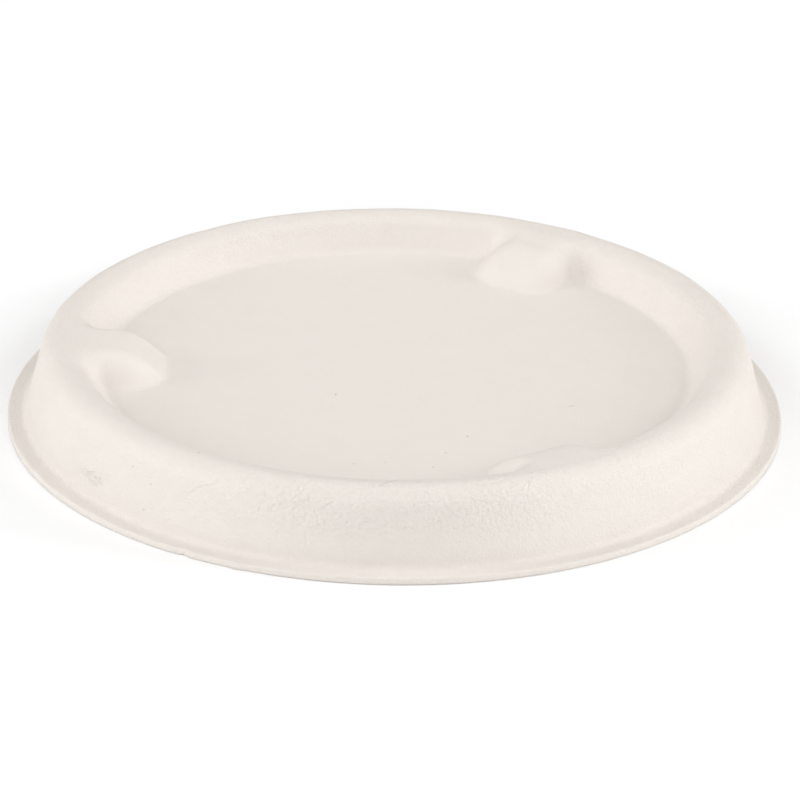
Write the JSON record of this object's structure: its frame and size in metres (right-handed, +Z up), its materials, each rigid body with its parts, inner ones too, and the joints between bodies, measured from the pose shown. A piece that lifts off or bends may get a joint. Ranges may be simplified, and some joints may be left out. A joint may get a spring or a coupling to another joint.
{
  "type": "sauce cup lid",
  "caption": "Round moulded pulp lid with a flat flange, a sloping skirt, a raised ring with inward lugs and a sunken panel.",
  "frame": {"origin": "on the lid's axis, level with the underside of the flange that it rests on", "axes": "+Z up through the sunken panel, -X through the middle of one lug"},
  "size_m": [0.066, 0.066, 0.0069],
  "materials": {
    "pulp": "matte moulded plant pulp, natural off-white"
  },
  "bodies": {
    "root": {"lid": "pulp"}
  },
  "joints": []
}
